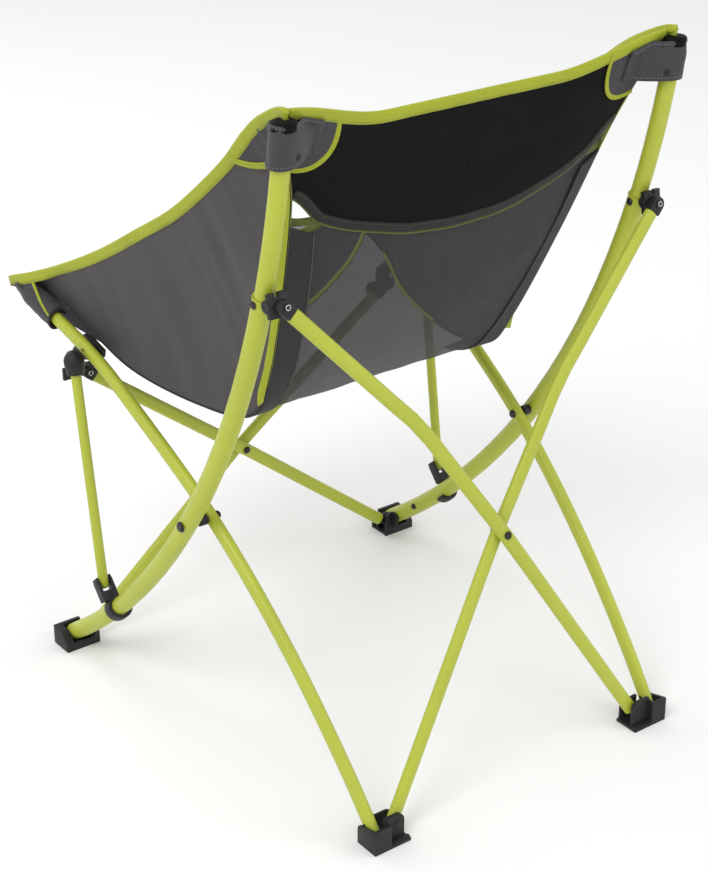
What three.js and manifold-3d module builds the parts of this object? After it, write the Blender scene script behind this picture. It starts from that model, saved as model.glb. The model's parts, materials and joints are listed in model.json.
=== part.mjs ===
// Folding bucket camp chair: a quad-fold frame of powder coated steel tube that carries a fabric sling.
// Millimetres, +Z up, the sitter faces -Y and the sitter's left is +X. The left side is built and mirrored.
import * as THREE from 'three';
import { mergeVertices } from 'three/addons/utils/BufferGeometryUtils.js';
import Module from 'manifold-3d';

const wasm = await Module();
wasm.setup();

// ---- driving dimensions ----
const GAP = 0.35;                                   // clearance left between neighbouring pieces

const UPRIGHT_X = 250;                              // plane of each upright
const UPRIGHT_ARC = { y: -886.8, z: 917.8, r: 1089.4 };  // both upright tubes lie on this arc
const UPRIGHT_FOOT = -55.65, UPRIGHT_JOINT = -16.93, UPRIGHT_TIP = -7.1;  // degrees along the arc
const LOWER_R = 10.75, UPPER_R = 9.6, SOCKET_DEPTH = 2.4;  // tube radii, and the socket depth in degrees

const LEG_WIDE = 16.5, LEG_THICK = 13;              // flat-oval side leg
const LEG_PATH = [[-347, 453], [-279, 431], [-202, 405], [-137, 371], [5, 286], [128, 182], [230, 70], [272, 15]];
const legX = (y) => 241.5 - 0.0706 * (y + 279);     // the leg leans inwards towards its foot
const PIVOT = { y: 4, z: 287.5 };                   // scissor rivet of upright and side leg
const LEG_FOOT = { y: 265, z: 23 };                 // leg pin in the rear shoe

const REAR_TOP = new THREE.Vector3(247, 185.6, 599.3);    // rear cross tube pin at its bracket
const REAR_BEND = new THREE.Vector3(98, 208.9, 438);
const REAR_CROSS = new THREE.Vector3(0, 229.8, 293);
const REAR_FOOT = new THREE.Vector3(-174, 269, 22);
const FRONT_TOP = new THREE.Vector3(216.5, -262.5, 365.5);
const FRONT_CROSS = new THREE.Vector3(0, -268, 200);
const FRONT_FOOT = new THREE.Vector3(-219.5, -268, 26);
const CROSS_WIDE = 16, CROSS_THICK = 10.6, CROSS_OFFSET = 6;  // flat-oval cross tubes, one behind the other

const SLEEVE_RIVET = { y: 153.7, z: 594.5 };        // holds the upper upright in the socket of the lower one
const KNUCKLE = { y: 173.4, z: 598.5, r: 6.5 };     // hinge of the rear bracket on the upright's lug
const LEG_BRACKET = { y: -222, z: 412 };            // front bracket pin, on the side leg
const STRUT_X = 256, STRUT_R = 6;
const STRUT_PIN = { y: -185.5, z: 128 }, STRUT_TOP = { y: -220.5, z: 394 };
const CLIP_ANGLE = -48.6;                           // the clip's place on the upright arc, in degrees
const CLOTH = 2.2;                                  // thickness of the fabric solids

// ---- materials ----
const paint = (name, color, roughness, metalness = 0) =>
  new THREE.MeshStandardMaterial({ name, color, roughness, metalness });
const MAT = {
  tube: () => paint('lime_powder_coat', 0xb6c23e, 0.45, 0.1),
  plastic: () => paint('black_nylon', 0x1d1d1f, 0.5),
  rivet: () => paint('black_rivet', 0x202022, 0.35, 0.6),
  side: () => paint('charcoal_polyester', 0x5a5557, 0.85),
  back: () => paint('black_polyester', 0x222223, 0.8),
  mesh: () => paint('grey_mesh', 0x6d6c70, 0.9),
  patch: () => paint('melange_polyester', 0x48464b, 0.9),
};

// ---- helpers ----
const deg = THREE.MathUtils.degToRad;
const v3 = (x, y, z) => new THREE.Vector3(x, y, z);

function toSolid(geometry) {
  const bare = new THREE.BufferGeometry();
  const flat = geometry.index ? geometry.toNonIndexed() : geometry;
  bare.setAttribute('position', flat.getAttribute('position').clone());
  const merged = mergeVertices(bare, 1e-4);
  return new wasm.Manifold(new wasm.Mesh({
    numProp: 3,
    vertProperties: new Float32Array(merged.getAttribute('position').array),
    triVerts: new Uint32Array(merged.index.array),
  }));
}

function toGeometry(solid) {
  const m = solid.getMesh();
  const geometry = new THREE.BufferGeometry();
  geometry.setAttribute('position', new THREE.BufferAttribute(new Float32Array(m.vertProperties), 3));
  geometry.setIndex(new THREE.BufferAttribute(new Uint32Array(m.triVerts), 1));
  geometry.computeVertexNormals();
  return geometry;
}

const box = (x0, x1, y0, y1, z0, z1) =>
  toSolid(new THREE.BoxGeometry(x1 - x0, y1 - y0, z1 - z0).translate((x0 + x1) / 2, (y0 + y1) / 2, (z0 + z1) / 2));

// A closed lathe turned about `axis` through `centre`; rows of the profile are [radius, distance along axis].
function turned(profile, centre, axis, segments = 16) {
  const geometry = new THREE.LatheGeometry(profile.map(([r, h]) => new THREE.Vector2(r, h)), segments);
  geometry.applyQuaternion(new THREE.Quaternion().setFromUnitVectors(v3(0, 1, 0), axis.clone().normalize()));
  return toSolid(geometry.translate(centre.x, centre.y, centre.z));
}

const rod = (centre, axis, radius, from, to, segments = 16) =>
  turned([[0, from], [radius, from], [radius, to], [0, to]], centre, axis, segments);

// A rivet with a domed head at each end that is given a head radius.
function rivet(centre, axis, radius, from, to, headTo = 4.6, headFrom = 4.6, head = 2) {
  const profile = [[0, from - head], [headFrom * 0.7, from - head], [headFrom, from - head * 0.35], [headFrom, from],
    [radius, from], [radius, to], [headTo, to], [headTo, to + head * 0.35], [headTo * 0.7, to + head], [0, to + head]];
  return turned(profile, centre, axis, 12);
}

// Closed outline with round ends: `wide` along the shape's y, `thick` along its x.
function ovalShape(wide, thick, steps = 6) {
  const r = thick / 2, straight = wide / 2 - r;
  const shape = new THREE.Shape();
  for (let i = 0; i <= steps; i++) {
    const a = Math.PI * i / steps;
    const x = r * Math.cos(a), y = straight + r * Math.sin(a);
    if (i === 0) shape.moveTo(x, y); else shape.lineTo(x, y);
  }
  for (let i = 0; i <= steps; i++) {
    const a = Math.PI + Math.PI * i / steps;
    shape.lineTo(r * Math.cos(a), -straight + r * Math.sin(a));
  }
  return shape;
}

function roundShape(radius, segments = 16) {
  const shape = new THREE.Shape();
  for (let i = 0; i < segments; i++) {
    const a = 2 * Math.PI * i / segments;
    if (i === 0) shape.moveTo(radius, 0); else shape.lineTo(radius * Math.cos(a), radius * Math.sin(a));
  }
  return shape;
}

const swept = (shape, curve, steps) =>
  toSolid(new THREE.ExtrudeGeometry(shape, { steps, extrudePath: curve, bevelEnabled: false }));

// A plate: an outline of [y, z] points extruded from x0 to x1.
function plateYZ(outline, x0, x1) {
  const shape = new THREE.Shape(outline.map(([y, z]) => new THREE.Vector2(y, z)));
  const geometry = new THREE.ExtrudeGeometry(shape, { depth: x1 - x0, bevelEnabled: false });
  const axes = new THREE.Matrix4().makeBasis(v3(0, 1, 0), v3(0, 0, 1), v3(1, 0, 0));
  return toSolid(geometry.applyMatrix4(axes).translate(x0, 0, 0));
}

// A point of the upright's centre line, and the direction of the line there.
function arcPoint(angle, radius = UPRIGHT_ARC.r) {
  return v3(UPRIGHT_X, UPRIGHT_ARC.y + radius * Math.cos(deg(angle)), UPRIGHT_ARC.z + radius * Math.sin(deg(angle)));
}
class UprightArc extends THREE.Curve {
  constructor(from, to) { super(); this.from = from; this.to = to; }
  getPoint(t) { return arcPoint(this.from + (this.to - this.from) * t); }
}

const X = v3(1, 0, 0);
const mirrorSolid = (solid) => solid.mirror([1, 0, 0]);

const group = new THREE.Group();
group.name = 'camp_chair';
function add(name, solid, material) {
  const mesh = new THREE.Mesh(toGeometry(solid), material());
  mesh.name = name;
  group.add(mesh);
}
function addPair(name, solid, material) {
  add(`${name}_left`, solid, material);
  add(`${name}_right`, mirrorSolid(solid), material);
}

// ---- uprights: a lower and an upper tube joined in a socket ----
const uprightFoot = arcPoint(UPRIGHT_FOOT);
const atPivot = v3(0, PIVOT.y, PIVOT.z);
const stopRivet = arcPoint(-51.9);
{
  const socket = swept(roundShape(UPPER_R + GAP), new UprightArc(UPRIGHT_JOINT - SOCKET_DEPTH, UPRIGHT_JOINT + 1), 4);
  const pinHole = (p) => rod(v3(UPRIGHT_X, p.y, p.z), X, 2.5 + GAP, -20, 20);
  const lip = swept(roundShape(LOWER_R + 0.8), new UprightArc(UPRIGHT_JOINT - 0.08, UPRIGHT_JOINT), 1);
  const lug = rod(v3(UPRIGHT_X, KNUCKLE.y, KNUCKLE.z), X, 4.2, -1.5, 1.5)
    .add(box(UPRIGHT_X - 1.5, UPRIGHT_X + 1.5, KNUCKLE.y - 9, KNUCKLE.y, KNUCKLE.z - 4, KNUCKLE.z + 4));
  const lower = swept(roundShape(LOWER_R), new UprightArc(UPRIGHT_FOOT - 0.4, UPRIGHT_JOINT), 18).add(lip).add(lug)
    .subtract(socket).subtract(pinHole(uprightFoot)).subtract(pinHole(PIVOT)).subtract(pinHole(SLEEVE_RIVET))
    .subtract(rod(v3(UPRIGHT_X, KNUCKLE.y, KNUCKLE.z), X, 1.8 + GAP, -3, 3))
    .subtract(rod(stopRivet, X, 2 + GAP, -20, -4));
  addPair('upright_lower', lower, MAT.tube);
  const upper = swept(roundShape(UPPER_R), new UprightArc(UPRIGHT_JOINT - SOCKET_DEPTH + 0.05, UPRIGHT_TIP), 9)
    .subtract(pinHole(SLEEVE_RIVET));
  addPair('upright_upper', upper, MAT.tube);
  const reach = LOWER_R + GAP, { y, z } = SLEEVE_RIVET;
  addPair('sleeve_rivet', rivet(v3(UPRIGHT_X, y, z), X, 2.5, -reach, reach, 4.4, 4.4, 1.8), MAT.rivet);
  addPair('upright_stop_rivet', rivet(stopRivet, X, 2, -LOWER_R - 0.2, -7, 2.01, 4.2, 2.2), MAT.rivet);
}

// ---- side legs, their scissor rivets and spacers ----
const legCurve = new THREE.CatmullRomCurve3(LEG_PATH.map(([y, z]) => v3(legX(y), y, z)), false, 'centripetal');
const legPivotX = legX(PIVOT.y);
{
  const hole = (p, r) => rod(v3(legX(p.y), p.y, p.z), X, r + GAP, -14, 14);
  const leg = swept(ovalShape(LEG_WIDE, LEG_THICK), legCurve, 30)
    .subtract(hole(PIVOT, 2.5)).subtract(hole(LEG_FOOT, 2.5)).subtract(hole(LEG_BRACKET, 3));
  addPair('side_leg', leg, MAT.tube);
  const outer = UPRIGHT_X + LOWER_R + GAP, inner = legPivotX - LEG_THICK / 2 - GAP;
  addPair('scissor_rivet', rivet(atPivot, X, 2.5, inner, outer, 6.2, 5, 3.2), MAT.rivet);
  const from = legPivotX + LEG_THICK / 2 + 3 * GAP, to = UPRIGHT_X - LOWER_R - GAP;
  addPair('scissor_spacer', rod(atPivot, X, 6.4, from, to, 20).subtract(rod(atPivot, X, 2.5 + GAP, from - 1, to + 1)),
    MAT.plastic);
}

// ---- cross tubes: two flat-oval tubes that cross at a rivet, with a black end fitting at the top ----
// Every cross is drawn from its left top to its right foot; the second tube is its mirror image, one layer in front.
function crossPath(points, normal, layer) {
  const last = points.length - 1;
  return points.map((p, i) => {
    const off = i === 0 || i === last ? 0 : layer * (i === 2 || last === 2 ? 1 : 0.62);
    return p.clone().addScaledVector(normal, off);
  });
}
function crossTube(points, bendAt, normal, layer, fitting) {
  const pts = crossPath(points, normal, layer);
  const start = pts[1].clone().sub(pts[0]).normalize();
  const end = pts.at(-1).clone().sub(pts.at(-2)).normalize();
  const tubeStart = pts[0].clone().addScaledVector(start, fitting);
  const tubeEnd = pts.at(-1).clone().addScaledVector(end, 3);
  const through = [tubeStart, ...pts.slice(1, -1), tubeEnd];
  const dense = [];
  for (let i = 0; i < through.length - 1; i++) {
    const pieces = bendAt === i || bendAt === i + 1 ? 5 : 2;
    for (let k = 0; k < pieces; k++) dense.push(through[i].clone().lerp(through[i + 1], k / pieces));
  }
  dense.push(tubeEnd);
  const curve = new THREE.CatmullRomCurve3(dense, false, 'centripetal');
  const cross = pts[pts.length - 2];
  const tube = swept(ovalShape(CROSS_WIDE, CROSS_THICK), curve, bendAt ? 22 : 10)
    .subtract(rod(cross, normal, 2.5 + GAP, -12, 12));
  const side = start.clone().cross(normal).normalize();
  const outline = new THREE.Shape();
  const r = CROSS_WIDE / 2;
  for (let i = 0; i <= 8; i++) {
    const a = Math.PI / 2 + Math.PI * i / 8;
    if (i === 0) outline.moveTo(r * Math.cos(a), r * Math.sin(a)); else outline.lineTo(r * Math.cos(a), r * Math.sin(a));
  }
  outline.lineTo(fitting - GAP, -r);
  outline.lineTo(fitting - GAP, r);
  const plug = new THREE.ExtrudeGeometry(outline, { depth: CROSS_THICK, bevelEnabled: false })
    .translate(0, 0, -CROSS_THICK / 2)
    .applyMatrix4(new THREE.Matrix4().makeBasis(start, side.clone().negate(), start.clone().cross(side).negate()))
    .translate(pts[0].x, pts[0].y, pts[0].z);
  const end0 = toSolid(plug).subtract(rod(pts[0], normal, 2.5 + GAP, -12, 12));
  return { tube, plug: end0, cross };
}
const planeNormal = (top, foot) => v3(0, top.y - foot.y, top.z - foot.z).normalize().cross(X).normalize();
const REAR_NORMAL = planeNormal(REAR_TOP, REAR_FOOT);
const FRONT_NORMAL = planeNormal(FRONT_TOP, FRONT_FOOT);

function addCross(name, points, bendAt, normal, crossPoint, fitting) {
  const behind = crossTube(points, bendAt, normal, CROSS_OFFSET, fitting);
  const ahead = crossTube(points, bendAt, normal, -CROSS_OFFSET, fitting);
  add(`${name}_tube_left`, behind.tube, MAT.tube);
  add(`${name}_fitting_left`, behind.plug, MAT.plastic);
  add(`${name}_tube_right`, mirrorSolid(ahead.tube), MAT.tube);
  add(`${name}_fitting_right`, mirrorSolid(ahead.plug), MAT.plastic);
  const reach = CROSS_OFFSET + CROSS_THICK / 2 + GAP;
  add(`${name}_cross_rivet`, rivet(crossPoint, normal, 2.5, -reach, reach, 4.8, 4.8, 2), MAT.rivet);
}
addCross('rear', [REAR_TOP, REAR_BEND, REAR_CROSS, REAR_FOOT], 1, REAR_NORMAL, REAR_CROSS, 11);
addCross('front', [FRONT_TOP, FRONT_CROSS, FRONT_FOOT], 0, FRONT_NORMAL, FRONT_CROSS, 10);

// ---- rear brackets: a knuckle that rocks on the upright's lug, with a plate for the cross tube ----
// Only the left cross tubes are riveted to a bracket. The rivet of a right one ends in its own end fitting.
function ringRivets(name, at, normal, back, head) {
  const front = CROSS_THICK / 2 + GAP;
  add(`${name}_left`, rivet(at, normal, 2.5, back, front, 4.4, 2.501, head), MAT.rivet);
  const short = rivet(at, normal, 2.5, -CROSS_THICK / 2 + 1.8, front, 4.4, 2.501, head);
  add(`${name}_right`, mirrorSolid(short), MAT.rivet);
}
{
  const { y, z, r } = KNUCKLE, half = 11;
  const knuckle = v3(UPRIGHT_X, y, z);
  const face = REAR_TOP.y - CROSS_THICK / 2 - 0.9;
  const lean = Math.atan2(REAR_NORMAL.z, REAR_NORMAL.y);
  const plate = new THREE.BoxGeometry(2 * half + 2, 5, 25).rotateX(lean)
    .translate(REAR_TOP.x + 1, face - 2.6, REAR_TOP.z);
  const bracket = rod(knuckle, X, r, -half, half, 24).add(toSolid(plate))
    .add(box(UPRIGHT_X - half, UPRIGHT_X + half, y, face - 3, z - 6.4, z + 6.4))
    .subtract(box(UPRIGHT_X - 1.9, UPRIGHT_X + 1.9, y - 20, y + 4.6, z - 20, z + 20))
    .subtract(rod(knuckle, X, 1.8 + GAP, -30, 30))
    .subtract(rod(REAR_TOP, REAR_NORMAL, 2.5 + GAP, -8, 12));
  addPair('rear_bracket', bracket, MAT.plastic);
  addPair('rear_bracket_pin', rod(knuckle, X, 1.8, -half + 0.3, half - 0.3, 12), MAT.rivet);
  ringRivets('rear_ring_rivet', REAR_TOP, REAR_NORMAL, -6.2, 1.5);
}

// ---- front brackets: an ear with a stud in the side leg, and an arm under the leg for the cross tube ----
{
  const { y, z } = LEG_BRACKET;
  const inner = legX(y) - LEG_THICK / 2 - 1.6;
  const armBack = FRONT_TOP.y - CROSS_THICK / 2 - 0.9;
  const ear = [[y + 19, z - 5], [y + 21, z + 4], [y + 13, z + 6], [y - 6, z + 11], [y - 22, z + 10], [armBack - 4, z - 18],
    [armBack - 4, z - 28], [armBack, z - 28], [y - 22, z - 22], [y + 2, z - 15]];
  const bracket = plateYZ(ear, inner - 4, inner)
    .add(box(207, 245, armBack - 4, armBack, 358, 373)).add(rod(v3(208, armBack, 365.5), v3(0, -1, 0), 7.5, 0, 4, 16))
    .add(box(inner - 12, inner + 8, armBack - 4, armBack, 372, z - 20))
    .add(rod(v3(0, y, z), X, 3, inner - 1, legX(y) + 4, 14))
    .subtract(rod(FRONT_TOP, FRONT_NORMAL, 2.5 + GAP, -20, 12));
  addPair('front_bracket', bracket, MAT.plastic);
  ringRivets('front_ring_rivet', FRONT_TOP, FRONT_NORMAL, -CROSS_THICK / 2 - 4.9 + 1.4, 1.4);
}

// ---- struts with a ball cap, and the clips that slide on the uprights ----
{
  const foot = v3(STRUT_X, STRUT_PIN.y, STRUT_PIN.z), top = v3(STRUT_X, STRUT_TOP.y, STRUT_TOP.z);
  const along = top.clone().sub(foot).normalize();
  const length = top.distanceTo(foot);
  const strut = turned([[0, -6], [4, -5.4], [STRUT_R, -2], [STRUT_R, length], [0, length]], foot, along, 18)
    .subtract(rod(foot, X, 2 + GAP, -12, 12));
  addPair('strut', strut, MAT.tube);
  const cap = [[0, length + GAP], [STRUT_R + GAP, length + GAP], [STRUT_R + GAP, length - 6], [10.4, length - 6]];
  for (let i = 0; i <= 8; i++) {
    const a = Math.PI * (-0.12 + 0.62 * i / 8);
    cap.push([12.2 * Math.cos(a), length + 8 + 14 * Math.sin(a)]);
  }
  cap[cap.length - 1][0] = 0;
  addPair('strut_cap', turned(cap, foot, along, 20), MAT.plastic);

  // The clip is drawn across the tube: `across` is outwards, `up` is away from the arc's far side.
  const seat = arcPoint(CLIP_ANGLE);
  const up = v3(0, UPRIGHT_ARC.y - seat.y, UPRIGHT_ARC.z - seat.z).normalize();
  const along2 = X.clone().cross(up).normalize();
  const hookInner = LOWER_R + 0.5, hookOuter = LOWER_R + 4.6;
  const hook = new THREE.Shape();
  const from = deg(95), to = deg(-150), steps = 14;
  for (let i = 0; i <= steps; i++) {
    const a = from + (to - from) * i / steps;
    const p = [hookOuter * Math.cos(a), hookOuter * Math.sin(a)];
    if (i === 0) hook.moveTo(...p); else hook.lineTo(...p);
  }
  for (let i = steps; i >= 0; i--) {
    const a = from + (to - from) * i / steps;
    hook.lineTo(hookInner * Math.cos(a), hookInner * Math.sin(a));
  }
  const rise = foot.clone().sub(seat).dot(up);
  const shift = foot.clone().sub(seat).dot(along2);
  const offset = STRUT_X - UPRIGHT_X;
  const prong = (x0, x1) => [[x0, 11.6], [x1, 11.6], [x1, rise + 2], [(x0 + x1) / 2 + 0.8, rise + 7.5],
    [(x0 + x1) / 2 - 0.8, rise + 7.5], [x0, rise + 2]];
  const slab = (outline, depth, at) => {
    const shape = outline instanceof THREE.Shape ? outline
      : new THREE.Shape(outline.map(([a, b]) => new THREE.Vector2(a, b)));
    return toSolid(new THREE.ExtrudeGeometry(shape, { depth, bevelEnabled: false }).translate(0, 0, at - depth / 2)
      .applyMatrix4(new THREE.Matrix4().makeBasis(X, up, along2)).translate(seat.x, seat.y, seat.z));
  };
  const half = STRUT_R + 0.6, wall = 3.4;
  const clip = slab(hook, 14, shift)
    .add(slab(prong(offset - half - wall, offset - half), 13, shift))
    .add(slab(prong(offset + half, offset + half + wall), 13, shift))
    .add(slab([[offset - half - wall, 11.6], [offset + half + wall, 11.6], [offset + half + wall, 23],
      [offset - half - wall, 23]], 13, shift))
    .subtract(slab(roundShape(hookInner, 28), 40, shift))
    .subtract(rod(foot, X, 2 + GAP, -half - wall + 0.8, half + wall - 0.8));
  addPair('strut_clip', clip, MAT.plastic);
  addPair('clip_pin', rod(foot, X, 2, -half - wall + 1.2, half + wall - 1.2, 12), MAT.rivet);
}

// ---- shoes: moulded feet that take the ends of two tubes each ----
// A cheek is a plate across the chair with one rounded top corner and a boss for the cross tube's foot.
function cheek(x0, x1, y, thick, top, bossSide) {
  const r = 9, outline = new THREE.Shape();
  outline.moveTo(x1, 0);
  outline.lineTo(x1, top);
  outline.absarc(x0 + r, top - r, r, Math.PI / 2, Math.PI, false);
  outline.lineTo(x0, 0);
  const plate = new THREE.ExtrudeGeometry(outline, { depth: thick, bevelEnabled: false, curveSegments: 6 })
    .rotateX(Math.PI / 2).translate(0, y + thick, 0);
  const boss = rod(v3(x0 + 10, y + (bossSide > 0 ? thick : 0), top - 11), v3(0, bossSide, 0), 3.4, -1, 0.9, 14);
  return toSolid(plate).add(boss);
}
{
  const u = uprightFoot, front = -291, rear = -258, out = 272, ear = UPRIGHT_X - LOWER_R - 0.5;
  const side = [[front, 0], [rear, 0], [rear, 10], [-261, 15], [-266, 20], [-274, 24], [front + 2, 25], [front, 23]];
  const lug = [[front, 0], [rear, 0], [rear, 11], [-247, 19], [-245.5, 25], [-246.5, 31], [-251, 34.5], [-257, 34.5],
    [-268, 30], [-280, 24.5], [front, 20]];
  const shoe = box(227, out, front, rear, 0, 3.6)
    .add(box(ear - 2, out, front, front + 4.5, 0, 25)).add(box(227, ear, front, front + 4, 0, 10))
    .add(box(ear - 1, out, rear - 4, rear, 0, 10.6))
    .add(plateYZ(side, UPRIGHT_X + LOWER_R + 1.4, out)).add(plateYZ(lug, ear - 2.8, ear))
    .add(cheek(226, ear - 1, rear - 3, 3, 33, 1)).add(cheek(227.5, ear - 1, -281, 3, 21, -1))
    .subtract(rod(u, X, 2.5 + GAP, -20, 17));
  addPair('front_shoe', shoe, MAT.plastic);
  addPair('front_shoe_pin', rod(u, X, 2.5, -13.9, 16.6, 14), MAT.rivet);
}
{
  const f = v3(legX(LEG_FOOT.y), LEG_FOOT.y, LEG_FOOT.z), front = 258, rear = 289.5;
  const inside = f.x - LEG_THICK / 2 - 0.8, outside = f.x + LEG_THICK / 2 + 1;
  const side = [[front, 0], [rear, 0], [rear, 29], [rear - 2, 30], [front + 1.5, 22.5], [front, 20]];
  const shoe = box(166, outside + 3.2, front, rear, 0, 3.6)
    .add(plateYZ(side, outside, outside + 3.2))
    .add(box(inside - 4, outside + 1, rear - 3.6, rear, 0, 30))
    .add(box(inside - 4, inside, front, rear, 0, 9)).add(box(inside - 4, outside + 1, front, front + 3, 0, 7))
    .add(box(inside - 4, inside - 0.8, 281, rear, 0, 31))
    .add(box(166, inside - 3, 284, rear - 1.5, 0, 5.6))
    .add(cheek(169, inside - 2, 277, 4.6, 34, 1)).add(cheek(169, inside - 2, front, 3, 27, -1))
    .subtract(rod(f, X, 2.5 + GAP, -20, 9.4));
  addPair('rear_shoe', shoe, MAT.plastic);
  addPair('rear_shoe_pin', rod(f, X, 2.5, -LEG_THICK / 2 + 0.2, 9, 14), MAT.rivet);
}

// ---- sling ----
// Ten stations run from the top of the back, down and under the seat, to the front edge. Each has a point in the
// middle plane [y, z], one on the side seam [x, y, z] and one on the outer rim [x, y, z].
const STATIONS = [
  { mid: [170, 764], seam: [238, 177, 790], rim: [240, 180, 794] },
  { mid: [160, 692], seam: [226, 158, 722], rim: [240, 146, 777] },
  { mid: [151, 624], seam: [215, 143, 676], rim: [237, 112, 753] },
  { mid: [120, 535], seam: [196, 100, 565], rim: [233, 66, 714] },
  { mid: [64, 452], seam: [178, 46, 447], rim: [229, 6, 668] },
  { mid: [-14, 385], seam: [172, 4, 394], rim: [228, -48, 628] },
  { mid: [-100, 354], seam: [179, -86, 375], rim: [229, -112, 586] },
  { mid: [-190, 361], seam: [198, -186, 372], rim: [234, -190, 541] },
  { mid: [-272, 386], seam: [214, -252, 412], rim: [241, -280, 496] },
  { mid: [-346, 418], seam: [222, -350, 452], rim: [243, -370, 458] },
];
const LAST = STATIONS.length - 1;
const line = (pick) => new THREE.CatmullRomCurve3(STATIONS.map(pick), false, 'catmullrom', 0.5);
const midLine = line((s) => v3(0, s.mid[0], s.mid[1]));
const seamLine = line((s) => v3(...s.seam));
const rimLine = line((s) => v3(...s.rim));

// The middle panel: u runs from -1 to 1 across the chair, k counts stations from the top to the front edge.
function middlePoint(u, k) {
  const m = midLine.getPoint(k / LAST), s = seamLine.getPoint(k / LAST);
  const rise = Math.abs(u) ** (2 + 4 * Math.max(0, 1 - k));   // the top edge lifts only at its corners
  return v3(s.x * u, m.y + (s.y - m.y) * rise, m.z + (s.z - m.z) * rise);
}
// The side panel: w runs from the seam to the rim, with a slight hollow towards the sitter.
function sidePoint(w, k) {
  const s = seamLine.getPoint(k / LAST), r = rimLine.getPoint(k / LAST);
  const p = s.clone().lerp(r, w);
  p.x -= 9 * Math.sin(Math.PI * w) * Math.sin(Math.PI * k / LAST);
  return p;
}
const hemAt = (u) => 2 - 0.7 * THREE.MathUtils.smoothstep(Math.abs(u), 0.84, 1);   // lower edge of the back panel
const archAt = (u) => 7.5 + u * u;                                                // rear edge of the front seat panel

// A closed sheet of cloth over a grid of points.
function cloth(point, nu, nv, thickness = CLOTH) {
  const positions = [], index = [];
  const at = (i, j, side) => (side * (nu + 1) + i) * (nv + 1) + j;
  for (const side of [0, 1]) {
    for (let i = 0; i <= nu; i++) {
      for (let j = 0; j <= nv; j++) {
        const u = i / nu, v = j / nv, e = 1e-3;
        const du = point(Math.min(1, u + e), v).sub(point(Math.max(0, u - e), v));
        const dv = point(u, Math.min(1, v + e)).sub(point(u, Math.max(0, v - e)));
        const n = du.cross(dv).normalize();
        positions.push(...point(u, v).addScaledVector(n, (side - 0.5) * thickness).toArray());
      }
    }
  }
  const quad = (a, b, c, d) => index.push(a, b, c, a, c, d);
  for (let i = 0; i < nu; i++) {
    for (let j = 0; j < nv; j++) {
      quad(at(i, j, 1), at(i + 1, j, 1), at(i + 1, j + 1, 1), at(i, j + 1, 1));
      quad(at(i, j, 0), at(i, j + 1, 0), at(i + 1, j + 1, 0), at(i + 1, j, 0));
    }
    quad(at(i, 0, 0), at(i + 1, 0, 0), at(i + 1, 0, 1), at(i, 0, 1));
    quad(at(i, nv, 1), at(i + 1, nv, 1), at(i + 1, nv, 0), at(i, nv, 0));
  }
  for (let j = 0; j < nv; j++) {
    quad(at(0, j, 1), at(0, j + 1, 1), at(0, j + 1, 0), at(0, j, 0));
    quad(at(nu, j, 0), at(nu, j + 1, 0), at(nu, j + 1, 1), at(nu, j, 1));
  }
  const geometry = new THREE.BufferGeometry();
  geometry.setAttribute('position', new THREE.BufferAttribute(new Float32Array(positions), 3));
  geometry.setIndex(index);
  return toSolid(geometry);
}
{
  const edge = 0.012;
  const between = (a, b) => (s, t) => {
    const u = (2 * s - 1) * (1 - edge);
    return middlePoint(u, a(u) + (b(u) - a(u)) * t);
  };
  add('back_panel', cloth(between(() => 0.02, (u) => hemAt(u) - 0.02), 20, 8), MAT.back);
  add('mesh_panel', cloth(between(() => 2.03, (u) => archAt(u) - 0.02), 20, 20), MAT.mesh);
  add('seat_panel', cloth(between((u) => archAt(u) + 0.02, () => LAST - 0.02), 20, 6), MAT.side);
  addPair('side_panel', cloth((s, t) => sidePoint(0.03 + 0.97 * s, 0.35 + (LAST - 0.4) * t), 8, 24), MAT.side);
}

// ---- pockets: sleeves sewn on the sling that hold the tips of the uprights and side legs ----
{
  const sleeve = (shapeOut, shapeIn, curve, inner, steps) => swept(shapeOut, curve, steps).subtract(swept(shapeIn, inner, steps));
  const top = sleeve(roundShape(UPPER_R + GAP + 1.4, 20), roundShape(UPPER_R + GAP, 20),
    new UprightArc(-9.75, UPRIGHT_TIP + 0.1), new UprightArc(-10.5, UPRIGHT_TIP + 1), 4);
  addPair('top_pocket', top, MAT.patch);

  const tip = legCurve.getPoint(0), ahead = tip.clone().sub(legCurve.getPoint(0.02)).normalize();
  const tail = legCurve.getPointAt(0.085);
  const end = tip.clone().addScaledVector(ahead, 4);
  const bag = sleeve(ovalShape(LEG_WIDE + 3.4, LEG_THICK + 3.4), ovalShape(LEG_WIDE + 0.8, LEG_THICK + 0.8),
    new THREE.LineCurve3(tail, end),
    new THREE.LineCurve3(tail.clone().addScaledVector(ahead, -10), tip.clone().addScaledVector(ahead, 1)), 3);
  addPair('front_pocket', bag, MAT.patch);
}

// The origin is the middle of the chair's box, on the floor.
const bounds = new THREE.Box3().setFromObject(group, true);
group.position.y = -(bounds.min.y + bounds.max.y) / 2;

export default group;
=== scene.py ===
"""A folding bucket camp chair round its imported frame: fabrics, trims, finishes, light and camera.

The tables hold millimetres in the chair's own frame: origin on the floor under the middle of the feet, +Z up,
the sitter faces -Y and the sitter's left is +X. point() brings them to the row frame in metres.
The left half is built and mirrored.
"""

import json
import math

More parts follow.
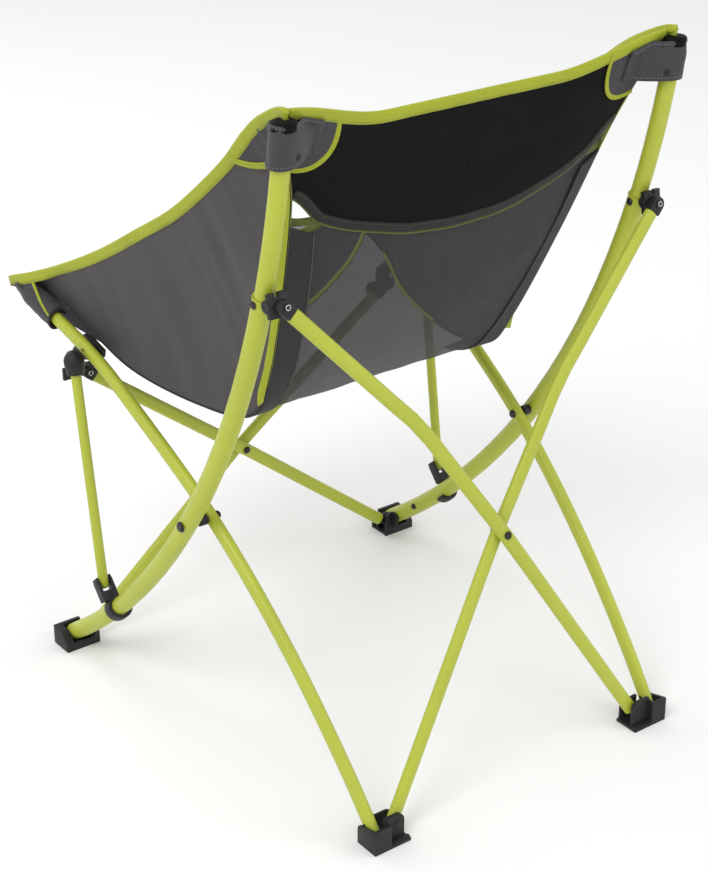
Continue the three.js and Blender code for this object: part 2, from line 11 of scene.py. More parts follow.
import bpy
from mathutils import Vector, noise
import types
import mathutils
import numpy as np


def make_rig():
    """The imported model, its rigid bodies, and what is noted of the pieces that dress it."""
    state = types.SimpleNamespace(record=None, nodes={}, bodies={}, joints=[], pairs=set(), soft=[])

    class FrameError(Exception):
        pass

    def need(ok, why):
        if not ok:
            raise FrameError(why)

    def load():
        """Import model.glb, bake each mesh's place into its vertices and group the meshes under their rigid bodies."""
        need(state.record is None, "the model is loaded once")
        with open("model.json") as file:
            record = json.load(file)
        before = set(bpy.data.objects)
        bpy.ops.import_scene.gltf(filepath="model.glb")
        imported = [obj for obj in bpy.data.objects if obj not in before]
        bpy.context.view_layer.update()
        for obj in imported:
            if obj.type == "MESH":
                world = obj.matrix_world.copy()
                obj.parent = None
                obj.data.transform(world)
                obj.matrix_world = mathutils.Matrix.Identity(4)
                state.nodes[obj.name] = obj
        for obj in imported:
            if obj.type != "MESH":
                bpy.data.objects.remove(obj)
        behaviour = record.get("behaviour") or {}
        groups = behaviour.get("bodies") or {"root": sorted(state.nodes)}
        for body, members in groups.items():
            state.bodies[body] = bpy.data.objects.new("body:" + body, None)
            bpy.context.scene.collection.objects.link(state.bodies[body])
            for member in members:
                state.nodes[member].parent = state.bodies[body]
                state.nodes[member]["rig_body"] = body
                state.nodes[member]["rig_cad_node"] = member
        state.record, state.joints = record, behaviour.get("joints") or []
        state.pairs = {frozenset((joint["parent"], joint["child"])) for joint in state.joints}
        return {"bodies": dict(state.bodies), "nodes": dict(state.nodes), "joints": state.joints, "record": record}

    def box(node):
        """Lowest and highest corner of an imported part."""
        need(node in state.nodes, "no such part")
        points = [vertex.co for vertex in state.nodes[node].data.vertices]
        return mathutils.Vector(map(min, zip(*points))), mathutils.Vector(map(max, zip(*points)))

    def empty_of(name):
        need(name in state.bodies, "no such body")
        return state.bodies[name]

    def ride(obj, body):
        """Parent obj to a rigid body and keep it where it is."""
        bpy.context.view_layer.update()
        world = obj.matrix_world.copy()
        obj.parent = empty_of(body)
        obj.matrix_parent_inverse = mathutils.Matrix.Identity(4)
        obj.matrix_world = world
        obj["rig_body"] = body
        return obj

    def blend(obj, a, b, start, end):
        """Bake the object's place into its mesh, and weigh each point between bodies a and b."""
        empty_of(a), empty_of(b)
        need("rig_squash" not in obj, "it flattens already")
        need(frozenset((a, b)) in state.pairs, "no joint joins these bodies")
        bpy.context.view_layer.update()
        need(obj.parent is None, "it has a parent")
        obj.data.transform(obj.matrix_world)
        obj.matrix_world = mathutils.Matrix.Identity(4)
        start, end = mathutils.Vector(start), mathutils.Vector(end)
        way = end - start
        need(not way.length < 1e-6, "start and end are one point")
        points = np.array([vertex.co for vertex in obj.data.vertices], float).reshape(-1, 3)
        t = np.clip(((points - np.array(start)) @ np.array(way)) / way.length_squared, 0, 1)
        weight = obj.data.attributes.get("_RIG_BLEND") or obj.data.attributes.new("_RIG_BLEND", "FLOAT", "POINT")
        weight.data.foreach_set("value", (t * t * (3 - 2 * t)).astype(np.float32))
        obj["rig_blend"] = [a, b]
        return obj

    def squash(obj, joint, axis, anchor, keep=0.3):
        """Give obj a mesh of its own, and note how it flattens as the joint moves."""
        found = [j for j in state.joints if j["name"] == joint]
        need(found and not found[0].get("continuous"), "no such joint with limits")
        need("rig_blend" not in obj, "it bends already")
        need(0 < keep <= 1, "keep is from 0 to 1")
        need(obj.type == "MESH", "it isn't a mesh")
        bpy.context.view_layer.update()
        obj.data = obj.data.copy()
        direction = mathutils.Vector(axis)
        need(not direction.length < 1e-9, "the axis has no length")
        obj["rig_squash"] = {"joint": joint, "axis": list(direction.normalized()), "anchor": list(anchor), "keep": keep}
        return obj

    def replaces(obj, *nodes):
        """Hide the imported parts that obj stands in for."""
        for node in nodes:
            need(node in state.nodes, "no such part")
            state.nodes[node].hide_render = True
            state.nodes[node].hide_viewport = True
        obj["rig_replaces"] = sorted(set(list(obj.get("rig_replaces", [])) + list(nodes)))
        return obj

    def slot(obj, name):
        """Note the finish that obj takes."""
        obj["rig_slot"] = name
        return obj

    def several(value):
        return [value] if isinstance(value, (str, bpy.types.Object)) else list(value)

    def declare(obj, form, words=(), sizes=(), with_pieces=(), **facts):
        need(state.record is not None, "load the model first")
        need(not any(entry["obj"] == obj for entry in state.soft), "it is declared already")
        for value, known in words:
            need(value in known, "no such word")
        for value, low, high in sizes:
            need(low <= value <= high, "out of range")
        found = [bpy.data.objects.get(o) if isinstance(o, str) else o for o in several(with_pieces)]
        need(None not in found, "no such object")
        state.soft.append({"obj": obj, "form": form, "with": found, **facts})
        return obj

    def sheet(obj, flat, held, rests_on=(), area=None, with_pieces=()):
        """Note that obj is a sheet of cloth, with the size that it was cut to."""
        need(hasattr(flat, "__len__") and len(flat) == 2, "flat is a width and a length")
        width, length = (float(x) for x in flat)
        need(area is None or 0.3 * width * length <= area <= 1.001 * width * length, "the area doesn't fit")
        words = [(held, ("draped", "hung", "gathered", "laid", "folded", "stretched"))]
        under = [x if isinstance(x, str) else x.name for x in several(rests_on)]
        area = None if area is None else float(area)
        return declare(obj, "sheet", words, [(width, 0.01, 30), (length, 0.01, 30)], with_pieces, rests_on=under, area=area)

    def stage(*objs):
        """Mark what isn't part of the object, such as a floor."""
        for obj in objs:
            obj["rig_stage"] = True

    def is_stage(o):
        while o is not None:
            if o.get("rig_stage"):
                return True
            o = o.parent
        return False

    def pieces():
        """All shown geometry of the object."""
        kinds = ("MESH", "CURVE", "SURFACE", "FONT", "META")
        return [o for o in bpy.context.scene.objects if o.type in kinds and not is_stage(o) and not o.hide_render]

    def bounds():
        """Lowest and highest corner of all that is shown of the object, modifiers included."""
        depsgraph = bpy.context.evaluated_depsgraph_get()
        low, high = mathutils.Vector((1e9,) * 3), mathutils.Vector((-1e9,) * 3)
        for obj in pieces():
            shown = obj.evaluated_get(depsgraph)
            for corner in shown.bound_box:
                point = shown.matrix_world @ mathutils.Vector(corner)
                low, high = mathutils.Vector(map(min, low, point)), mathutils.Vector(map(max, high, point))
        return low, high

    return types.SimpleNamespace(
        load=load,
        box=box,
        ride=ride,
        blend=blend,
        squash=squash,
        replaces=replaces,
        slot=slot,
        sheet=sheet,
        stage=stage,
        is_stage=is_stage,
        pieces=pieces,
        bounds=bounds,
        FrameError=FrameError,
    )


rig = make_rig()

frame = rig.load()
nodes = frame["nodes"]
cad_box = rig.bounds()
scene = bpy.context.scene

pin_low, pin_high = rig.box("scissor_rivet_left")
SHIFT = Vector((0, (pin_low.y + pin_high.y) / 2 - 0.004, 0))   # the CAD group is centred on its own box


def point(x, y, z):
    return Vector((x, y, z)) / 1000 + SHIFT


def clamp(x, low=0.0, high=1.0):
    return max(low, min(high, x))


def smooth(x, low=0.0, high=1.0):
    t = clamp((x - low) / (high - low))
    return t * t * (3 - 2 * t)


def mix(a, b, t):
    return a + (b - a) * t


# ---- the sling's lines: stations from the top edge to the front edge ----
MIDDLE = [(0, 170, 764), (0, 160, 692), (0, 151, 624), (0, 120, 535), (0, 64, 452), (0, -14, 385),
          (0, -100, 354), (0, -190, 361), (0, -272, 386), (0, -346, 418)]
SEAM = [(242, 190, 793), (221, 160, 722), (208, 143, 676), (190, 100, 565), (173, 46, 447), (170, 4, 394),
        (179, -86, 379), (198, -186, 388), (214, -252, 419), (222, -350, 452)]
RIM = [(249, 196, 796), (244, 150, 779), (239, 112, 753), (234, 66, 711), (230, 6, 664), (229, -48, 625),
       (230, -112, 587), (234, -190, 541), (241, -280, 496), (243, -370, 458)]
LAST = len(MIDDLE) - 1


def line(stations, level=False):
    """A Catmull-Rom curve through the stations, as a function of the station number; level starts it level."""
    p = [Vector(s) for s in stations]
    before = 2 * p[0] - p[1]
    if level:
        before.z = p[1].z
    p = [before] + p + [2 * p[-1] - p[-2]]

    def at(k):
        k = clamp(k, 0, LAST)
        i = min(int(k), LAST - 1)
        t = k - i
        a, b, c, d = p[i:i + 4]
        m, n = (c - a) / 2, (d - b) / 2
        start = (2 * t**3 - 3 * t**2 + 1) * b + (t**3 - 2 * t**2 + t) * m
        return start + (3 * t**2 - 2 * t**3) * c + (t**3 - t**2) * n

    return at


middle_at, seam_at, rim_at = line(MIDDLE), line(SEAM), line(RIM, level=True)


def back_hem(u):
    """Station of the back panel's lower edge."""
    return 2.02 - 0.3 * smooth(abs(u), 0.84, 1)


def mesh_top(u):
    """Station of the mesh panel's upper edge."""
    return 1.97 + 0.15 * smooth(abs(u), 0.8, 1)


def seat_arch(u):
    """Station of the rear edge of the solid front seat panel."""
    return 7.5 + u * u


def middle_point(u, k):
    """The panel between the seams: u runs from -1 to 1 across the chair."""
    m, s = middle_at(k), seam_at(k)
    rise = mix(u * u, smooth(abs(u), 0.45, 1.04), clamp(1 - k))
    broad, fine = noise.noise(Vector((u * 1.7 + 3, k * 1.1, 4.2))), noise.noise(Vector((u * 5 + k, k * 2.4, 1)))
    folds = 2.6 * broad + 1.1 * fine
    folds *= smooth(1 - abs(u), 0, 0.25) * smooth(k, 0, 0.5) * smooth(LAST - k, 0, 0.5)
    return Vector((s.x * u, m.y + (s.y - m.y) * rise, m.z + (s.z - m.z) * rise + folds))


def side_point(w, k):
    """The side panel from the seam (w = 0) to the rim (w = 1), hollowed to the sitter, with soft upright folds."""
    s, r = seam_at(k), rim_at(k)
    p = s.lerp(r, w)
    arch = math.sin(math.pi * w) * math.sin(math.pi * k / LAST)
    broad, fine = noise.noise(Vector((k * 1.25, w * 0.55 + 2, 7.7))), noise.noise(Vector((k * 3.1, w * 1.3, 3.3)))
    folds = 5 * broad + 2.2 * fine
    p.x += -9 * arch + folds * math.sin(math.pi * w) ** 0.6 * smooth(k, 0.3, 1.6)
    return p


def back_at(x, z):
    """The back panel's point at that x and z."""
    low, high = 0.0, 2.0
    for _ in range(24):
        k = (low + high) / 2
        p = middle_point(min(1.0, x / seam_at(k).x), k)
        low, high = (k, high) if p.z > z else (low, k)
    return p


def tube_at(z):
    """Centre of the upright's tube at that height."""
    return Vector((250, -886.8 + math.sqrt(1089.4**2 - (z - 917.8) ** 2), z))


# ---- materials ----
class Shader:
    """A Principled material whose parts are added by name."""

    def __init__(self, name, rough=0.5, **values):
        self.material = bpy.data.materials.new(name)
        self.material.use_nodes = True
        self.tree = self.material.node_tree
        self.main = self.tree.nodes["Principled BSDF"]
        self.main.inputs["Roughness"].default_value = rough
        for key, value in values.items():
            self.main.inputs[key.replace("_", " ").title().replace("Ior", "IOR")].default_value = value

    def node(self, kind, **inputs):
        n = self.tree.nodes.new(kind)
        for key, value in inputs.items():
            if hasattr(n, key):
                setattr(n, key, value)
                continue
            socket = n.inputs[int(key[1:])] if key[0] == "_" else n.inputs[key.replace("_", " ")]
            self.set(socket, value)
        return n

    def set(self, socket, value):
        if isinstance(value, bpy.types.NodeSocket):
            self.tree.links.new(value, socket)
        else:
            socket.default_value = value

    def math(self, operation, a, b=0.0):
        n = self.node("ShaderNodeMath", operation=operation)
        self.set(n.inputs[0], a)
        self.set(n.inputs[1], b)
        return n.outputs[0]

    def space(self, use_uv):
        n = self.node("ShaderNodeTexCoord")
        return n.outputs["UV"] if use_uv else n.outputs["Object"]

    def noise(self, where, scale, detail=3.0):
        return self.node("ShaderNodeTexNoise", Vector=where, Scale=scale, Detail=detail).outputs["Fac"]

    def span(self, value, low, high):
        """Takes 0.3 to 0.7, where noise mostly lies, to low to high."""
        n = self.node("ShaderNodeMapRange")
        for i, v in enumerate((value, 0.3, 0.7, low, high)):
            self.set(n.inputs[i], v)
        return n.outputs[0]

    def shade(self, colour, amount):
        """The colour made darker or lighter by a factor that varies over the surface."""
        scale = self.node("ShaderNodeVectorMath", operation="SCALE")
        scale.inputs[0].default_value = colour
        self.set(scale.inputs["Scale"], amount)
        self.set(self.main.inputs["Base Color"], scale.outputs[0])

    def bump(self, height, distance, strength=1.0, below=None):
        n = self.node("ShaderNodeBump", Strength=strength, Distance=distance, Height=height)
        if below is not None:
            self.set(n.inputs["Normal"], below)
        self.set(self.main.inputs["Normal"], n.outputs[0])
        return n.outputs[0]


def powder_coat():
    s = Shader("lime_powder_coat", 0.42, coat_weight=0.12, coat_roughness=0.25, specular_ior_level=0.35)
    where = s.space(False)
    tone = s.math("MULTIPLY", s.span(s.noise(where, 9), 0.95, 1.04), s.span(s.noise(where, 900, 1), 0.93, 1.07))
    s.shade((0.405, 0.45, 0.04), tone)
    s.set(s.main.inputs["Roughness"], s.span(s.noise(where, 40), 0.34, 0.5))
    peel = s.bump(s.noise(where, 420, 2), 0.00025, 0.5)
    s.bump(s.noise(where, 45, 2), 0.0006, 0.3, peel)
    return s.material


def nylon():
    s = Shader("black_nylon", 0.5, specular_ior_level=0.3)
    where = s.space(False)
    tone = s.math("MULTIPLY", s.span(s.noise(where, 30), 0.75, 1.3), s.span(s.noise(where, 1500, 1), 0.8, 1.25))
    s.shade((0.014, 0.014, 0.015), tone)
    s.set(s.main.inputs["Roughness"], s.span(s.noise(where, 60), 0.4, 0.62))
    s.bump(s.noise(where, 1100, 2), 0.0003, 0.6)
    return s.material


def rivet_black():
    s = Shader("black_rivet", 0.35, metallic=0.6)
    where = s.space(False)
    s.shade((0.025, 0.025, 0.026), s.span(s.noise(where, 500, 2), 0.7, 1.5))
    s.set(s.main.inputs["Roughness"], s.span(s.noise(where, 200), 0.28, 0.5))
    s.bump(s.noise(where, 700, 2), 0.0002, 0.4)
    return s.material


def bare_steel():
    s = Shader("rivet_steel", 0.3, metallic=1.0)
    where = s.space(False)
    s.shade((0.55, 0.55, 0.54), s.span(s.noise(where, 600, 2), 0.7, 1.2))
    s.set(s.main.inputs["Roughness"], s.span(s.noise(where, 300), 0.2, 0.45))
    s.bump(s.noise(where, 900, 2), 0.0001, 0.4)
    return s.material


def woven(name, colour, pitch, contrast, rough, sheen, twill=True, fleck=0.08, crease=0.25, shine=0.16):
    """Woven cloth. UVs are metres along the weft and the warp, and pitch is the metres from yarn to yarn."""
    s = Shader(name, rough, sheen_weight=sheen, sheen_roughness=0.45, specular_ior_level=shine)
    uv = s.space(True)
    split = s.node("ShaderNodeSeparateXYZ", Vector=uv)
    turns = 2 * math.pi / pitch
    x, y = (s.math("MULTIPLY", split.outputs[i], turns) for i in (0, 1))
    if twill:
        rib = s.math("SINE", s.math("ADD", x, s.math("MULTIPLY", y, 0.8)))
        weft = s.math("SINE", s.math("MULTIPLY", y, 2.0))
        yarn = s.math("ADD", s.math("MULTIPLY", rib, 0.7), s.math("MULTIPLY", weft, 0.3))
    else:
        yarn = s.math("MULTIPLY", s.math("SINE", x), s.math("SINE", y))
    height = s.math("ADD", s.math("MULTIPLY", yarn, 0.5), 0.5)
    slub = s.noise(uv, 700, 2)
    cloud = s.noise(uv, 14, 3)
    tone = s.math("MULTIPLY", s.math("ADD", s.math("MULTIPLY", height, contrast), 1 - contrast / 2),
                  s.math("MULTIPLY", s.span(slub, 1 - fleck, 1 + fleck), s.span(cloud, 0.93, 1.07)))
    s.shade(colour, tone)
    s.set(s.main.inputs["Roughness"], s.span(cloud, rough - 0.06, rough + 0.06))
    weave = s.bump(s.math("ADD", height, s.math("MULTIPLY", slub, 0.6)), 0.00035, 0.5)
    s.bump(s.noise(uv, 22, 4), 0.004, crease, weave)
    return s


def open_mesh():
    """Fine netting, too fine to show its holes: a little of what is behind it shows through."""
    hole_pitch, cover, ripple = 0.0011, 0.78, 0.12
    s = woven("grey_mesh", (0.034, 0.0335, 0.0355), 0.0013, 0.12, 0.75, 0.06, twill=False, fleck=0.12)
    split = s.node("ShaderNodeSeparateXYZ", Vector=s.space(True))
    turns = 2 * math.pi / hole_pitch
    across, along = (s.math("COSINE", s.math("MULTIPLY", split.outputs[i], turns)) for i in (0, 1))
    solid = s.math("SUBTRACT", cover, s.math("MULTIPLY", s.math("MULTIPLY", across, along), ripple))
    s.set(s.main.inputs["Alpha"], solid)
    return s.material


def tape(name, colour):
    """Narrow woven binding with fine ribs across it."""
    s = Shader(name, 0.62, sheen_weight=0.1, sheen_roughness=0.4, specular_ior_level=0.25)
    uv = s.space(True)
    split = s.node("ShaderNodeSeparateXYZ", Vector=uv)
    rib = s.math("SINE", s.math("MULTIPLY", split.outputs[0], 2 * math.pi / 0.0013))
    height = s.math("ADD", s.math("MULTIPLY", rib, 0.5), 0.5)
    fuzz, cloud = s.span(s.noise(uv, 600, 2), 0.9, 1.1), s.span(s.noise(uv, 16), 0.93, 1.07)
    ribbed = s.math("ADD", s.math("MULTIPLY", height, 0.14), 0.93)
    tone = s.math("MULTIPLY", ribbed, s.math("MULTIPLY", fuzz, cloud))
    s.shade(colour, tone)
    weave = s.bump(height, 0.0003, 0.5)
    s.bump(s.noise(uv, 60, 3), 0.0015, 0.35, weave)
    return s.material


def thread(name, colour):
    s = Shader(name, 0.7, sheen_weight=0.2)
    where = s.space(False)
    s.shade(colour, s.span(s.noise(where, 1500, 2), 0.8, 1.2))
    s.bump(s.noise(where, 2500, 1), 0.0001, 0.5)
    return s.material


LIME, NYLON, RIVET, STEEL = powder_coat(), nylon(), rivet_black(), bare_steel()
SIDE = woven("charcoal_polyester", (0.061, 0.056, 0.0585), 0.0026, 0.26, 0.62, 0.12).material
BACK = woven("black_polyester", (0.0045, 0.0045, 0.0048), 0.0016, 0.3, 0.62, 0.01,
             crease=0.15, shine=0.07).material
PATCH = woven("melange_polyester", (0.052, 0.05, 0.055), 0.0018, 0.35, 0.75, 0.12,
              twill=False, fleck=0.35).material
DARK = woven("dark_band", (0.03, 0.0295, 0.031), 0.0016, 0.25, 0.7, 0.06).material
MESH = open_mesh()
TAPE = tape("lime_binding", (0.335, 0.375, 0.022))
# the lime binding darkened to olive: painted shade for where it lies in the shade under the back panel's hem
SHADED_LIME_TAPE = tape("lime_piping", (0.085, 0.11, 0.018))
BLACK_TAPE = tape("black_edging", (0.013, 0.013, 0.0135))
LIME_THREAD = thread("lime_thread", (0.25, 0.28, 0.03))
GREY_THREAD = thread("grey_thread", (0.16, 0.155, 0.16))
PALE_THREAD = thread("pale_thread", (0.13, 0.127, 0.124))


# ---- pieces ----
ROUND = 28                                            # sides of the larger round pieces
BEHIND = 2.6                                          # how far the mesh's edge lies behind the back panel's hem


def piece(name, verts, faces, material, uvs=None):
    """A mesh of points in millimetres, with a UV for each point."""
    mesh = bpy.data.meshes.new(name)
    mesh.from_pydata([v / 1000 + SHIFT for v in verts], [], faces)
    if uvs is not None:
        layer = mesh.uv_layers.new(name="Cloth")
        for corner in mesh.loops:
            layer.data[corner.index].uv = uvs[corner.vertex_index]
    mesh.shade_smooth()
    mesh.materials.append(material)
    o = bpy.data.objects.new(name, mesh)
    scene.collection.objects.link(o)
    return o


def thicken(o, thickness, offset=0.0):
    m = o.modifiers.new("thickness", "SOLIDIFY")
    m.thickness, m.offset, m.use_even_offset = thickness / 1000, offset, False
    return o


def grid(name, f, nu, nv, material, thickness, uv=lambda p: (p.y / 1000, p.z / 1000), flip=False):
    """A sheet over f(s, t), s and t from 0 to 1."""
    verts = [f(i / nu, j / nv) for i in range(nu + 1) for j in range(nv + 1)]
    faces = []
    for i in range(nu):
        for j in range(nv):
            a = i * (nv + 1) + j
            quad = (a, a + nv + 1, a + nv + 2, a + 1)
            faces.append(tuple(reversed(quad)) if flip else quad)
    o = piece(name, verts, faces, material, [uv(v) for v in verts])
    return thicken(o, thickness) if thickness else o


def directions(path, across):
    """Tangent, across and normal at each point of a path, across being squared to the path."""
    out = []
    for i, p in enumerate(path):
        t = (path[min(i + 1, len(path) - 1)] - path[max(i - 1, 0)]).normalized()
        a = across[i] - across[i].dot(t) * t
        a.normalize()
        out.append((t, a, t.cross(a)))
    return out


def sweep(name, path, across, profile, material, wave=0.0):
    """A closed strip of profile (across, normal) in mm along the path, waved a little along its length."""
    frames, verts, uvs, length = directions(path, across), [], [], 0.0
    n = len(profile)
    for i, (p, (t, a, b)) in enumerate(zip(path, frames)):
        if i:
            length += (p - path[i - 1]).length
        broad, fine = noise.noise(Vector((length / 19, 0.7, wave))), noise.noise(Vector((length / 6, 3, wave)))
        sway = wave * broad + 0.4 * wave * fine
        for j, (x, y) in enumerate(profile):
            verts.append(p + a * x + b * (y + sway * clamp(x / 8)))
            uvs.append((length / 1000, (x + (40 if y < 0 else 0)) / 1000))
    faces = []
    for i in range(len(path) - 1):
        for j in range(n):
            a0, a1 = i * n + j, i * n + (j + 1) % n
            faces.append((a0, a1, a1 + n, a0 + n))
    faces.append(tuple(reversed(range(n))))
    faces.append(tuple(range((len(path) - 1) * n, len(path) * n)))
    return piece(name, verts, faces, material, uvs)


def tape_profile(width, thick, back=1.5):
    """A folded tape: round over the cloth's edge, flat on its two faces, open side thin."""
    h = thick / 2
    upper = [(-back + 0.5, h * 0.8), (0.6, h), (width * 0.5, h * 0.92), (width - 0.8, h * 0.9), (width, h * 0.45)]
    return [(-back, 0)] + upper + [(x, -y) for x, y in reversed(upper)]


def angles(n):
    return [2 * math.pi * i / n for i in range(n)]


def cord_profile(r, n=8):
    return [(r * math.cos(a), r * math.sin(a)) for a in angles(n)]


def tube_faces(rings, n):
    """Faces between rings of n vertices each."""
    return [(i * n + j, i * n + (j + 1) % n, (i + 1) * n + (j + 1) % n, (i + 1) * n + j)
            for i in range(rings - 1) for j in range(n)]


# A stitch: its two pointed ends, then three points round it near each end.
STITCH_FACES = ((0, 2, 3), (0, 3, 4), (2, 5, 6, 3), (3, 6, 7, 4), (5, 1, 6), (6, 1, 7), (0, 4, 2), (5, 7, 1),
                (2, 4, 7, 5))


def stitches(name, path, across, offset, lift, material, pitch=4.2, length=2.9, radius=0.42):
    """A row of stitches beside the path, on each height in lift: short bars whose pointed ends sink in."""
    verts, faces, frames, along = [], [], directions(path, across), 0.0
    for i in range(1, len(path)):
        p0, p1 = path[i - 1], path[i]
        step = (p1 - p0).length
        while along < step:
            t, a, b = frames[i]
            c = p0.lerp(p1, along / step) + a * offset
            for side in lift:
                base, q = len(verts), c + b * side
                out = b * (radius if side > 0 else -radius)
                verts += [q - t * length / 2, q + t * length / 2]
                for x in (-0.3, 0.3):
                    near = q + t * length * x
                    verts += [near + a * radius, near + out, near - a * radius]
                faces += [tuple(base + k for k in f) for f in STITCH_FACES]
            along += pitch
        along -= step
    return piece(name, verts, faces, material)


# ---- how the cloth moves ----
CREASE = 5.55                                         # station where the sling folds when the chair closes
FOLDED_WIDTH = 0.5                                    # what is left of the seat's width then


def moves_with_side(o, side, sign):
    back, front = point(sign * 236, -60, 400), point(sign * 236, -262, 400)
    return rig.blend(o, f"upright_{side}", f"leg_{side}", start=back, end=front)


def moves_with_back(o, side, sign):
    edge, mid = point(sign * 205, 0, 500), point(0, 0, 500)
    if side == "left":
        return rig.blend(o, "upright_left", "sling", start=edge, end=mid)
    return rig.blend(o, "sling", "upright_right", start=mid, end=edge)


def moves_with_seat(o):
    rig.ride(o, "seat")
    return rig.squash(o, "fold", axis=(1, 0, 0), anchor=tuple(point(0, -200, 380)), keep=FOLDED_WIDTH)


# ---- trims ----
EDGE_TAPE = tape_profile(11.5, 3.8)                   # binds the rim, the top edge and the front edge
EDGE_STITCHES = (9.4, (-1.8, 1.8), LIME_THREAD)       # offset from the edge, height on each face, thread
FINE = {"pitch": 3.6, "length": 2.4}                  # short stitches
CORD_ACROSS = Vector((0, 0.3, 1))                     # a cord is round, so any direction across it does
STATION_STEP = 0.05
HALF_STEPS = 60                                       # columns of the trims on half a panel's width


def stations(first, count):
    return [first + i * STATION_STEP for i in range(count)]


def upright_uv(p):
    return (p.x / 1000, p.z / 1000)


def level_uv(p):
    """Runs on along the sling from the upright back to the level seat."""
    return (p.x / 1000, (p.y + p.z) / 1250)


def patch_edge(s):
    """(u, station) along the corner patch's rounded edge on the back panel, from the top edge to the seam."""
    a = s * math.pi / 2
    return 1 - 0.27 * math.cos(a) ** 0.9, 0.97 * math.sin(a) ** 0.9


def side_patch_edge(w):
    """Station of the corner patch's lower edge on the side panel."""
    return 0.97 + 1.9 * w


def past_middle(s):
    """A panel half's columns, the first of which laps a millimetre over the other half."""
    return -0.004 if s == 0 else mix(-0.002, 1, (s * 56 - 1) / 55)


def rim_tape(k):
    """The bound rim, which passes outside the pocket at its front end."""
    return rim_at(k) + Vector((9.5 * smooth(k, 8.1, 8.8), -3 * smooth(k, 8.5, LAST), 0))


def rim_inward(k):
    """From the rim into the side panel; the tape hangs straight down at the front end."""
    return (side_point(0.85, k) - rim_at(k)).lerp(Vector((0, 2, -20)), smooth(k, 8.0, 8.6))


def leg_line(y, out=0.0, up=0.0):
    """A line along the tip of the side leg, moved out and up."""
    return Vector((241.5 - 0.0706 * (y + 279) + out, y, mix(427.6, 458, (-268 - y) / 94) - 1.2 + up))


def smooth_line(points, n):
    """n + 1 points on a smooth curve through the given ones."""
    p = [2 * points[0] - points[1]] + list(points) + [2 * points[-1] - points[-2]]
    out = []
    for i in range(n + 1):
        x = i / n * (len(points) - 1)
        j = min(int(x), len(points) - 2)
        t = x - j
        a, b, c, d = p[j:j + 4]
        curve = (2 * b) + (c - a) * t + (2 * a - 5 * b + 4 * c - d) * t**2 + (3 * b - a - 3 * c + d) * t**3
        out.append(0.5 * curve)
    return out


def sleeve_section(z):
    """The sleeve round the upright's tip at that height, from the side panel round the tube to the back panel."""
    c = tube_at(z)
    s = smooth(z, 762, 782)
    start = side_point(0.16, clamp((790 - z) / 66, 0, 1.2)) + Vector((2.5, 0, 0))
    around = [(-6, -13), (8, -11), (12.7, -1), (10, 9.5), (1, 12.9), (-10, 9.6), (-20, 3), (-30, -5)]
    pinch = mix(1.0, 0.93, s)
    ring = [c + Vector((x * pinch, y * pinch - 2 * s, 0)) for x, y in around]
    end = [back_at(x, z - (238 - x) * 0.12 * s) + Vector((0, 3.4, 0)) for x in (208, 198)]
    return [start] + ring + end


